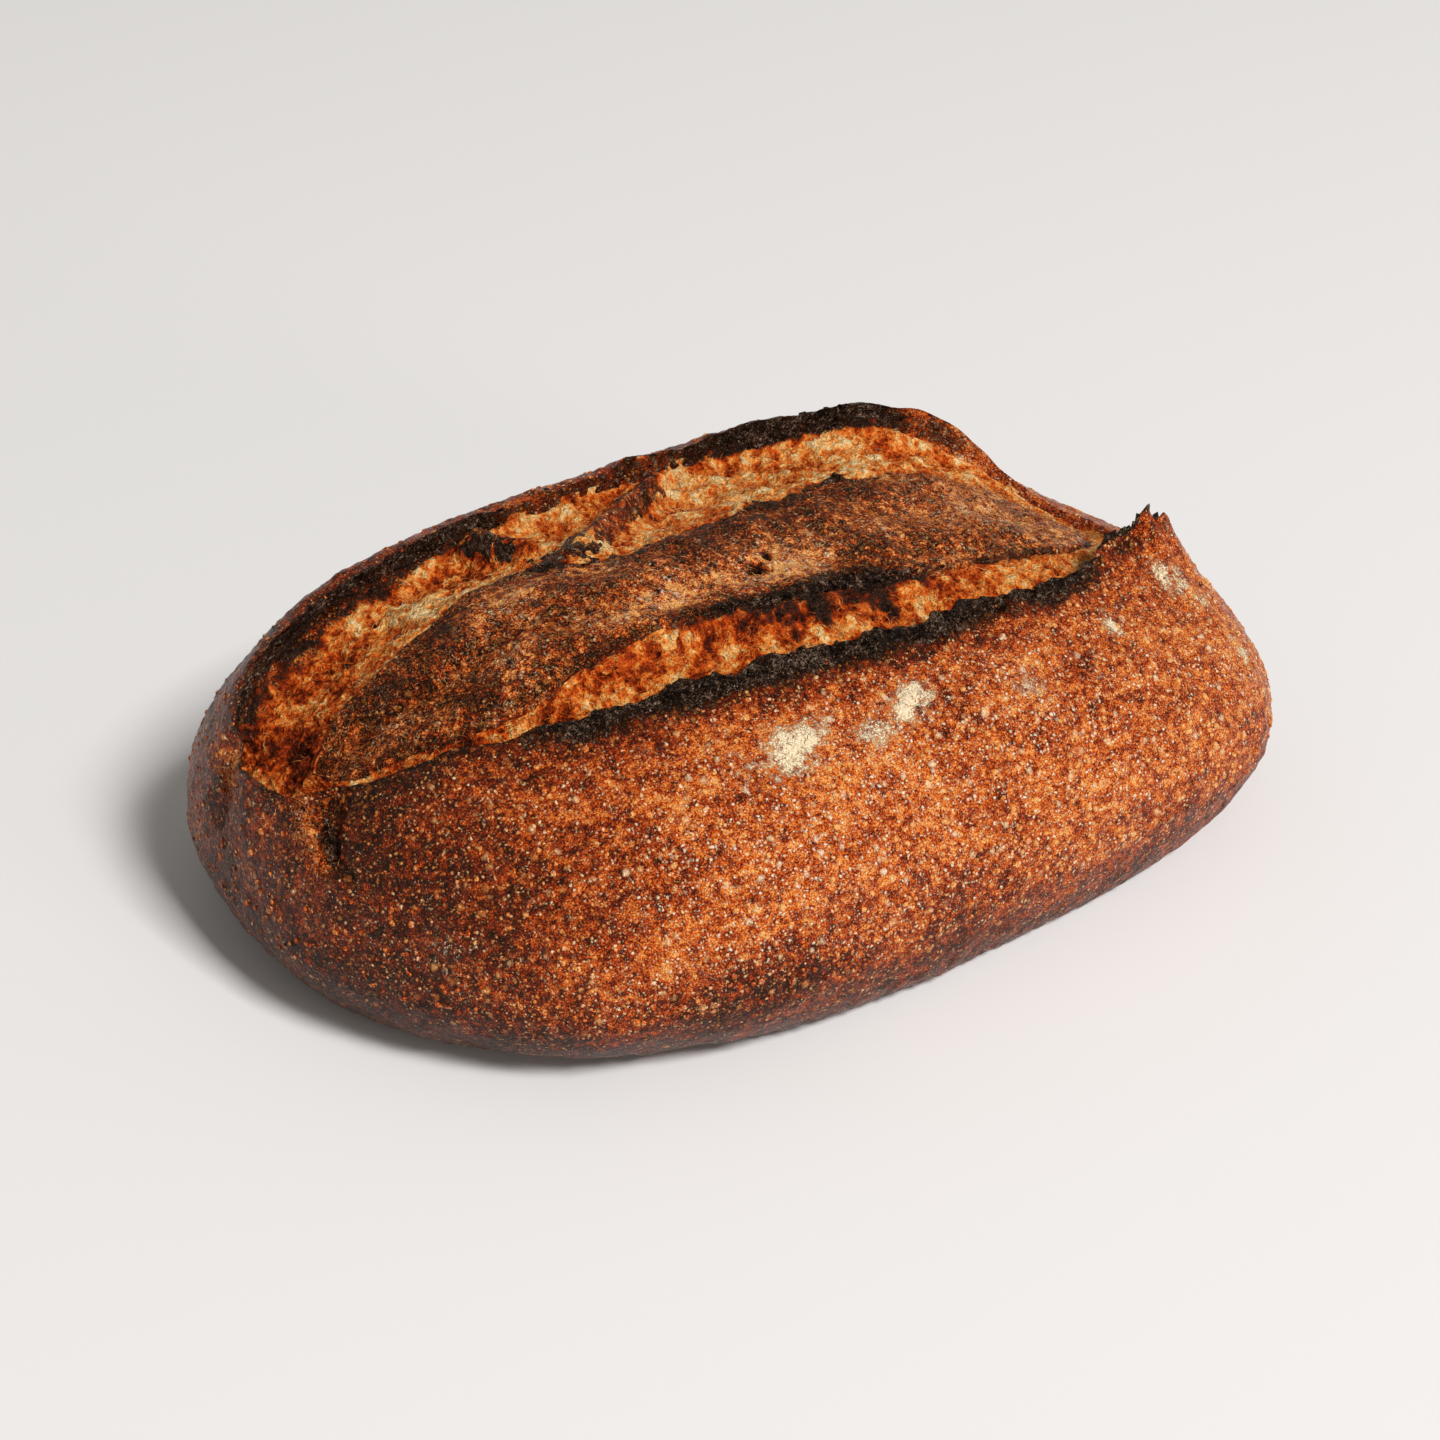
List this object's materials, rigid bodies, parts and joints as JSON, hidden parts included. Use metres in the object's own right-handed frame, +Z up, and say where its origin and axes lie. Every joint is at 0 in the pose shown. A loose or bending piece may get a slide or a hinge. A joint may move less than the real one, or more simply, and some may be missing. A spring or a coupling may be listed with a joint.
{
  "type": "bread loaf",
  "caption": "Oval hearth-baked wheat loaf with two long slashes torn open along its top, raised charred crust rims and a flat base.",
  "frame": {"origin": "middle of the loaf's bounding box, on the plane of its flat base", "axes": "+X along the loaf, -Y towards the side of the lower slash, +Z up"},
  "size_m": [0.2542, 0.1702, 0.0827],
  "materials": {
    "crust": "reddish brown baked wheat crust with fine blisters, charred rims and patches of flour"
  },
  "bodies": {
    "root": {"loaf": "crust"}
  },
  "joints": []
}
